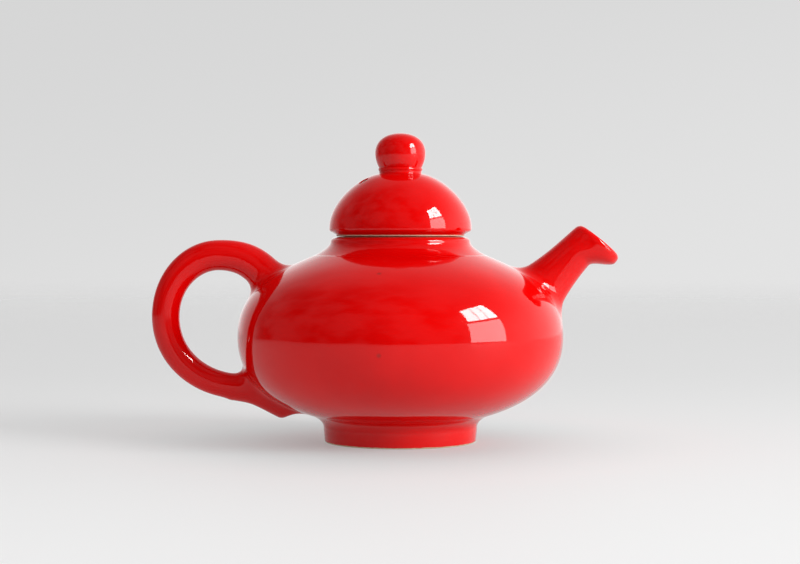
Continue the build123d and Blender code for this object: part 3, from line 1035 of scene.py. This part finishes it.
# ---- Knob ----------------------------------------------------------------------------
# A waisted ball with a small bead at its neck, turned, luted to the crown of the dome and
# glazed with it. It is what a finger and thumb lift the lid by.
_, knob_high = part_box("lid_knob")
knob_neck = (7.2 * mm, knob_seat + 0.8 * mm)
knob_bead = (7.5 * mm, knob_seat + 1.5 * mm)
knob_crease = (7.25 * mm, knob_seat + 2.1 * mm)
knob_ball = (knob_high.x + 0.15 * mm, knob_seat + 6.9 * mm)
knob_top = (0, knob_high.z)
knob = turned("turned_knob", joined(
    run((0, knob_seat), (knob_foot, knob_seat), 6),
    bend((knob_foot, knob_seat), 150, 0.5 * mm, knob_neck, 90, 0.4 * mm, 10),
    bend(knob_neck, 90, 0.3 * mm, knob_bead, 90, 0.3 * mm, 10),
    bend(knob_bead, 90, 0.2 * mm, knob_crease, 130, 0.2 * mm, 8),
    bend(knob_crease, 65, 1.4 * mm, knob_ball, 90, 2.0 * mm, 30),
    bend(knob_ball, 90, 4.2 * mm, knob_top, 180, 5.3 * mm, 44),
), red, sides=160)
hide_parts("lid_knob")
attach(knob, "lid")

# ---- Table and light -----------------------------------------------------------------
# A matt white table with a faint painted glow of its own, which lifts its shadows, fading out
# into a pale grey room. There is a tall window in two panes to the right and in front, a bright
# wall beyond it, and a dark room behind the viewer.
table_radius = 2.4
table_fade = 0.25
# Strength of the table's painted glow: light of its own that lifts the shade round the pot.
painted_table_glow = 0.28
paper_front, paper_back = 0.56, 0.42


def grey(level):
    """A neutral colour of one brightness."""
    return (level, level, level, 1)


def matt_white():
    """White paper, paler in front as painted light, fading out towards the table's edge.

    Under the pot it is painted blue-green, a painted tint that takes the red glow of the glaze out
    of it.
    """
    material, tree, shader, place = new_material("matt_white", 0.7)
    fibre = noise(tree, place, scale=900, detail=3).step(0.2, 0.8)
    _, back, _ = split(tree, place)
    # Painted light: the paper is paler in front than behind.
    paper = back.step(-0.35, 0.35).blend(grey(paper_front), grey(paper_back))
    # Painted shade: a blue-green tint under the pot that takes out the red glow thrown by the
    # glaze.
    under = radius_of(tree, place).step(0.02, 0.11) + fibre * 0.02
    connect(under.blend((0.33, 0.47, 0.47, 1), paper), shader, "Base Color")
    # Painted glow: the table gives off light of its own.
    shader.inputs["Emission Color"].default_value = grey(1)
    shader.inputs["Emission Strength"].default_value = painted_table_glow
    connect(1 - radius_of(tree, place).step(table_fade, table_radius), shader, "Alpha")
    return material


def card(name, corners, material):
    """A flat card between four corners."""
    mesh = bpy.data.meshes.new(name)
    mesh.from_pydata([tuple(c) for c in corners], [], [tuple(range(len(corners)))])
    mesh.materials.append(material)
    made = add_object(name, mesh)
    return made


table_mesh = bpy.data.meshes.new("table")
bm = bmesh.new()
bmesh.ops.create_circle(bm, cap_ends=True, segments=128, radius=table_radius)
bm.to_mesh(table_mesh)
bm.free()
table_mesh.materials.append(matt_white())
table = add_object("table", table_mesh)


def glow(name, strength):
    """Even light of a given strength."""
    material = bpy.data.materials.new(name)
    material.use_nodes = True
    tree = Wire(material.node_tree)
    material.node_tree.nodes.clear()
    light = tree.node("ShaderNodeEmission", {}, {"Color": grey(1), "Strength": strength})
    tree.node("ShaderNodeOutputMaterial", {}, {"Surface": light}, None)
    return material


def towards(azimuth, elevation, distance):
    """Place in a direction: azimuth in degrees from +X towards -Y, elevation upwards."""
    turn, rise = math.radians(azimuth), math.radians(elevation)
    return Vector((math.cos(turn) * math.cos(rise), -math.sin(turn) * math.cos(rise),
                   math.sin(rise))) * distance


window_away = 1.8
bar_away = window_away - 0.05
upper_corners = ((36.5, 45.5), (10, 48.5), (12, 30), (38.5, 28))
lower_corners = ((40, 25), (12, 27.5), (13, 1), (41, 1))
bar_turns = (18, 26)
bar_corners = ((0.7, 46.5), (0, 46.6), (2.6, 28.5), (3.3, 28.5))
upper_pane = card("upper_pane", [towards(*c, window_away) for c in upper_corners],
                  glow("upper_light", 34.0))
lower_pane = card("lower_pane", [towards(*c, window_away) for c in lower_corners],
                  glow("lower_light", 9.0))
bar_black = glow("glazing_bar", 0.4)
bars = []
for i, turn in enumerate(bar_turns):
    places = [towards(turn + aside, rise, bar_away) for aside, rise in bar_corners]
    bars.append(card(f"glazing_bar_{i}", places, bar_black))
for pane in (upper_pane, lower_pane, *bars):
    pane.visible_camera = False
    pane.visible_diffuse = False
    pane.visible_shadow = False

key = bpy.data.lights.new("window", "AREA")
key.shape, key.size, key.size_y, key.energy = "RECTANGLE", 0.9, 0.7, 25.0
window = bpy.data.objects.new("window", key)
bpy.context.scene.collection.objects.link(window)
window.location = towards(27.0, 22.0, window_away)
window.rotation_euler = (-window.location).to_track_quat("-Z", "Y").to_euler()
window.visible_glossy = False

room = bpy.data.worlds.new("room")
bpy.context.scene.world = room
room.use_nodes = True
room.node_tree.nodes.clear()
sky = Wire(room.node_tree)
way = sky.node("ShaderNodeTexCoord", {}, {}, "Generated")
east, north, up = split(sky, way)

# What the glaze mirrors: a patchy dark room on one side and a bright wall on the other.
patches = sky.node("ShaderNodeTexNoise", {}, {"Vector": way, "Scale": 2.6, "Detail": 2.0}, "Fac")
patches = patches.step(0.35, 0.65)
bright_side = (east * 0.64 + north * 0.77).step(-0.45, 0.9)
height_fall = up.step(0.15, 0.9)
seen = bright_side.blend(patches.blend(grey(0.04), grey(0.26)),
                         height_fall.blend(grey(1.25), grey(0.45)))

# The soft light that falls on things, and the wall that the camera sees.
low_fill = east.step(-0.8, 0.7).blend(grey(0.0), grey(1.20))
fill = up.step(-0.1, 0.9).blend(low_fill, grey(0.76))
wall_grey = (up * 0.38 - east * 0.11).step(-0.04, 0.07).blend(grey(0.775), grey(0.675))
rays = room.node_tree.nodes.new("ShaderNodeLightPath")
glossy = Wire(room.node_tree, rays.outputs["Is Glossy Ray"])
straight = Wire(room.node_tree, rays.outputs["Is Camera Ray"])
shown = straight.blend(glossy.blend(fill, seen), wall_grey)
light = sky.node("ShaderNodeBackground", {}, {"Color": shown, "Strength": 1.0})
sky.node("ShaderNodeOutputWorld", {}, {"Surface": light}, None)

# ---- Camera --------------------------------------------------------------------------
# The eye is level with the rim of the pot, 65 cm in front of it, and looks down a little
# through a long lens.
eye = Vector((-0.0001, -0.648, 0.0705))
pitch = math.radians(-1.46)
camera_data = bpy.data.cameras.new("camera")
camera_data.lens = 86.2
camera_data.sensor_width = 36.0
camera_data.clip_start = 0.01
camera = bpy.data.objects.new("camera", camera_data)
bpy.context.scene.collection.objects.link(camera)
camera.location = eye
camera.rotation_euler = (math.pi / 2 + pitch, 0, 0)
bpy.context.scene.camera = camera
bpy.context.scene.view_settings.view_transform = "Standard"
bpy.context.scene.cycles.use_denoising = True
